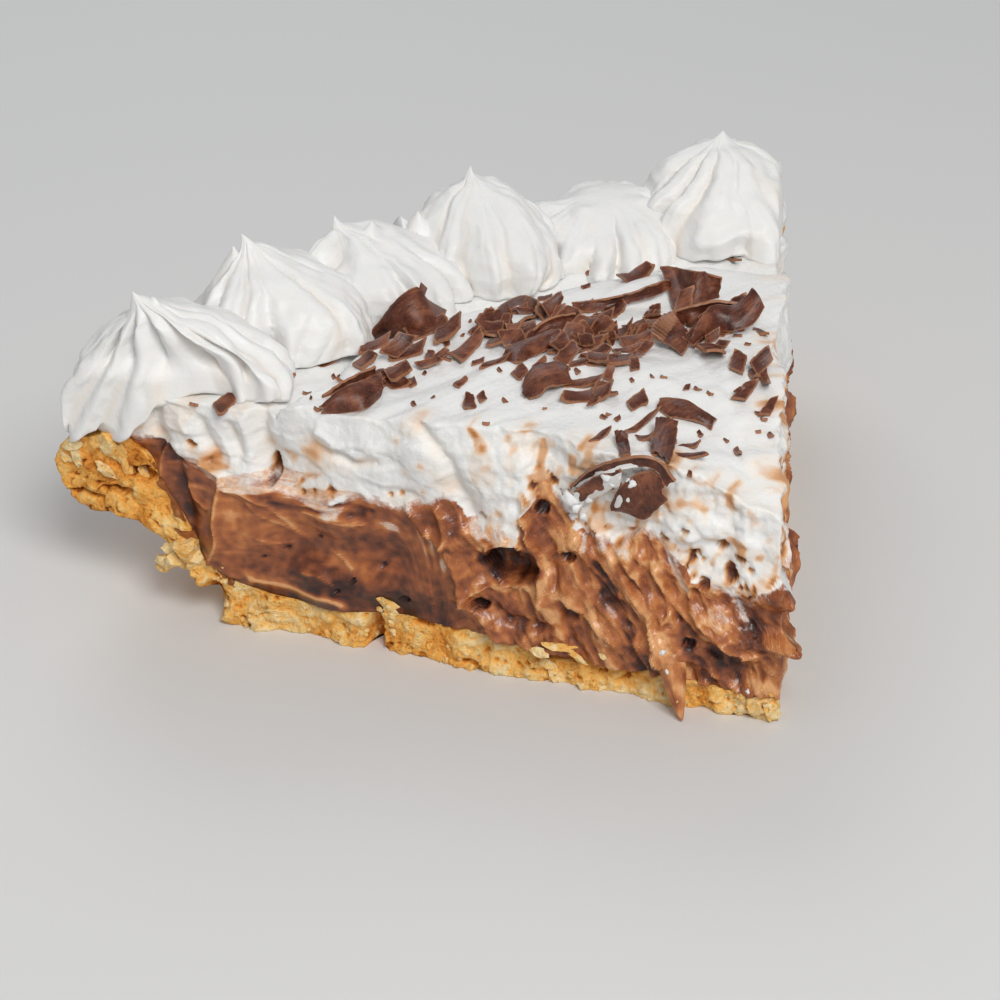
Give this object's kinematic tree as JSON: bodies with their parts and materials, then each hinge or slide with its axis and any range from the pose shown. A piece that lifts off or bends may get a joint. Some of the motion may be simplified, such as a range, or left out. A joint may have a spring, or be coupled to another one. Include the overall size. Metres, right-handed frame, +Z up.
{
  "type": "chocolate cream pie slice",
  "caption": "Wedge-shaped slice of chocolate cream pie: baked crust with a raised rim, chocolate filling, whipped cream with shaved chocolate and a piped rosette border.",
  "frame": {"origin": "on the flat underside of the crust, on the slice's centreline, 70 mm behind its point", "axes": "+Z up, the slice points to -Y, the piped border and rim are towards +Y; the pictured cut face is on the -X side"},
  "size_m": [0.1519, 0.1295, 0.0605],
  "materials": {
    "baked_crust": "golden shortcrust, matt and crumbly",
    "chocolate_filling": "smooth milk chocolate cream, moist and half gloss",
    "whipped_cream": "white whipped cream, soft satin",
    "shaved_chocolate": "shaved milk chocolate, dull with lighter edges"
  },
  "bodies": {
    "root": {"crust": "baked_crust", "chocolate_filling": "chocolate_filling", "whipped_cream": "whipped_cream", "rosette_1": "whipped_cream", "rosette_2": "whipped_cream", "rosette_3": "whipped_cream", "rosette_4": "whipped_cream", "rosette_5": "whipped_cream", "rosette_6": "whipped_cream", "curl_crinkled": "shaved_chocolate", "curl_behind_middle": "shaved_chocolate", "curl_middle": "shaved_chocolate", "curl_bent_plate": "shaved_chocolate", "curl_pair_lower": "shaved_chocolate", "curl_pair_upper": "shaved_chocolate", "curl_against_border": "shaved_chocolate", "curl_long_stick": "shaved_chocolate", "curl_raised_plate": "shaved_chocolate", "curl_behind_largest": "shaved_chocolate", "curl_largest": "shaved_chocolate", "curl_ribbed": "shaved_chocolate", "curl_near_point": "shaved_chocolate"}
  },
  "joints": []
}
